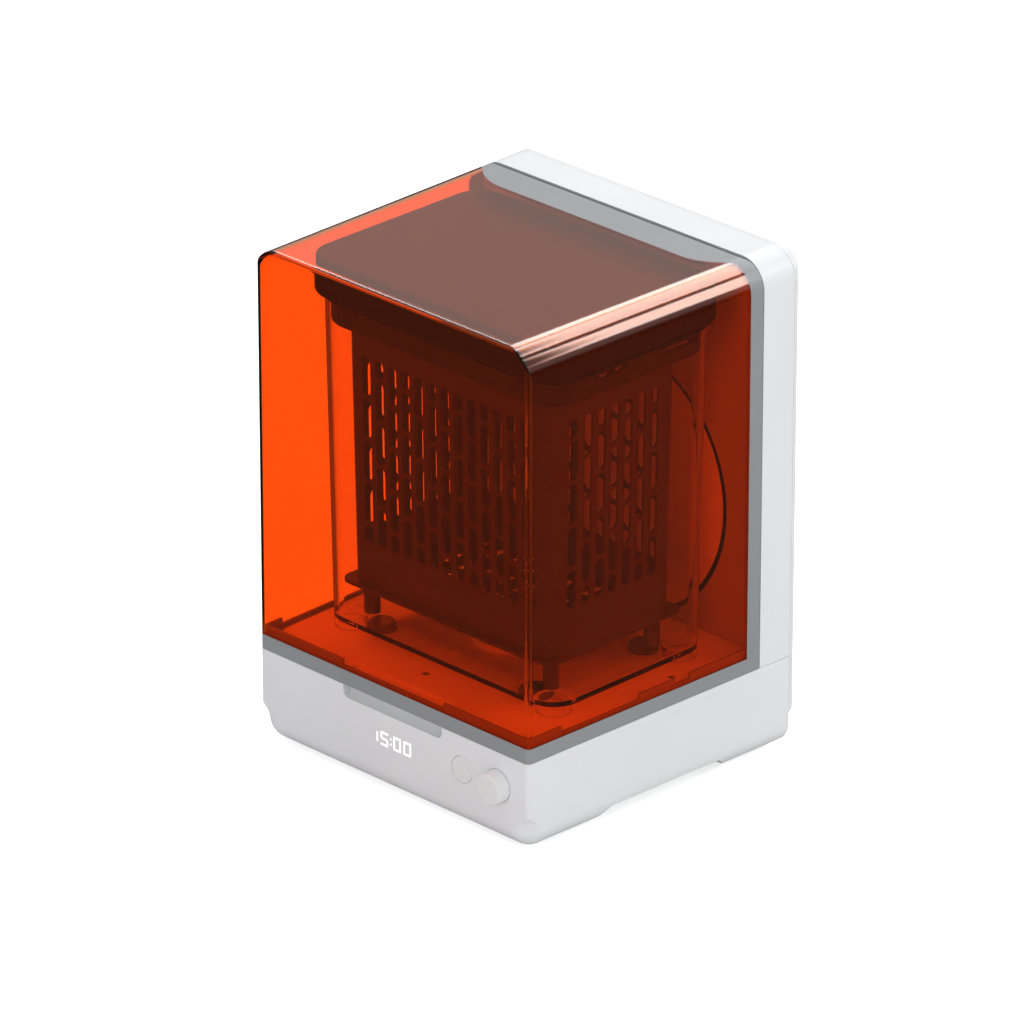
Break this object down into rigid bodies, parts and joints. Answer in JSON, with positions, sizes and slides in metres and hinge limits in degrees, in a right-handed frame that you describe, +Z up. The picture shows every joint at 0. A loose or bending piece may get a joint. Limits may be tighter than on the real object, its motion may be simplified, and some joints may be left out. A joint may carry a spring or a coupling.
{
  "type": "dental lab light curing unit",
  "caption": "Bench washing and light curing unit for printed dental parts: amber swing-up hood, white base and rear column, lidded tank with a slotted basket, knob and button.",
  "frame": {"origin": "on the bench under the feet, below the middle of the unit's bounding box, its knob included", "axes": "+X to the right as seen from the front, +Y from the front to the rear, +Z up"},
  "size_m": [0.2844, 0.2746, 0.386],
  "materials": {
    "white_housing": "satin",
    "light_deck": "satin",
    "frame_grey": "fine texture",
    "amber_clear": "polished, see-through",
    "tank_clear": "polished, see-through",
    "lid_plastic": "satin",
    "basket_plastic": "satin",
    "black_plastic": "satin",
    "dark_rubber": "matt",
    "window_clear": "polished",
    "board_green": "satin",
    "led_yellow": "gloss",
    "aluminium": "milled",
    "steel": "plain",
    "magnet_steel": "nickel plated",
    "motor_can": "satin",
    "digit_light": "lit from behind",
    "rotor_black": "satin",
    "button_white": "satin"
  },
  "bodies": {
    "housing": {"base_tub": "white_housing", "rubber_feet": "dark_rubber", "deck_plate": "light_deck", "deck_screws": "steel", "tank_pads": "dark_rubber", "column_shell": "white_housing", "rear_panel": "white_housing", "rear_panel_screws": "steel", "light_window": "window_clear", "window_gasket": "dark_rubber", "led_board": "board_green", "uv_leds": "led_yellow", "heat_sink": "aluminium", "heat_sink_screws": "steel", "fan_frame": "black_plastic", "fan_screws": "steel", "board_screws": "steel", "drive_motor": "motor_can", "motor_bracket": "steel", "motor_screws": "steel", "control_board": "board_green", "display_module": "black_plastic", "display_digits": "digit_light", "knob_encoder": "motor_can", "button_switch": "black_plastic", "hood_sensor": "black_plastic", "power_inlet": "black_plastic", "inlet_pins": "steel", "switch_frame": "black_plastic", "power_supply": "motor_can", "hinge_brackets": "steel", "hinge_screws": "steel", "hood_bumpers": "dark_rubber", "latch_magnets": "magnet_steel", "tank": "tank_clear", "impeller_pin": "steel", "basket": "basket_plastic", "basket_base": "basket_plastic", "basket_legs": "basket_plastic"},
    "hood": {"hood_shell": "amber_clear", "hood_frame": "frame_grey", "hinge_pins": "steel", "sensor_magnet": "magnet_steel", "latch_plates": "steel"},
    "lid": {"tank_lid": "lid_plastic", "lid_seal": "dark_rubber"},
    "knob": {"control_knob": "button_white", "knob_shaft": "steel"},
    "button": {"push_button": "button_white"},
    "rocker": {"power_rocker": "black_plastic"},
    "fan": {"fan_rotor": "rotor_black"},
    "drive": {"motor_rotor": "steel", "motor_shaft": "steel", "magnet_holder": "black_plastic", "drive_magnets": "magnet_steel"},
    "stirrer": {"impeller": "black_plastic", "impeller_magnets": "magnet_steel"}
  },
  "joints": [
    {"name": "hood_hinge", "type": "hinge", "parent": "housing", "child": "hood", "pos_m": [0, 0.09585, 0.3815], "axis": [-1, 0, 0], "range_deg": [0, 90]},
    {"name": "lid_lift", "type": "slide", "parent": "housing", "child": "lid", "axis": [0, 0, 1], "range_m": [0, 0.009]},
    {"name": "knob_turn", "type": "hinge", "parent": "housing", "child": "knob", "pos_m": [0.1055, -0.12975, 0.047], "axis": [0, -1, 0], "continuous": true},
    {"name": "button_press", "type": "slide", "parent": "housing", "child": "button", "axis": [0, 1, 0], "range_m": [0, 0.0012], "stiffness_N_per_m": 700, "springref_m": -0.0015},
    {"name": "power_switch", "type": "hinge", "parent": "housing", "child": "rocker", "pos_m": [-0.052, 0.13025, 0.036], "axis": [-1, 0, 0], "range_deg": [0, 18]},
    {"name": "fan_spin", "type": "hinge", "parent": "housing", "child": "fan", "pos_m": [0, 0.12525, 0.334], "axis": [0, 1, 0], "continuous": true},
    {"name": "drive_spin", "type": "hinge", "parent": "housing", "child": "drive", "pos_m": [0, -0.00475, 0.08], "axis": [0, 0, 1], "continuous": true},
    {"name": "stirrer_spin", "type": "hinge", "parent": "housing", "child": "stirrer", "pos_m": [0, -0.00475, 0.1], "axis": [0, 0, 1], "continuous": true}
  ],
  "couplings": [
    {"joint": "stirrer_spin", "follows": "drive_spin", "ratio": 1}
  ]
}
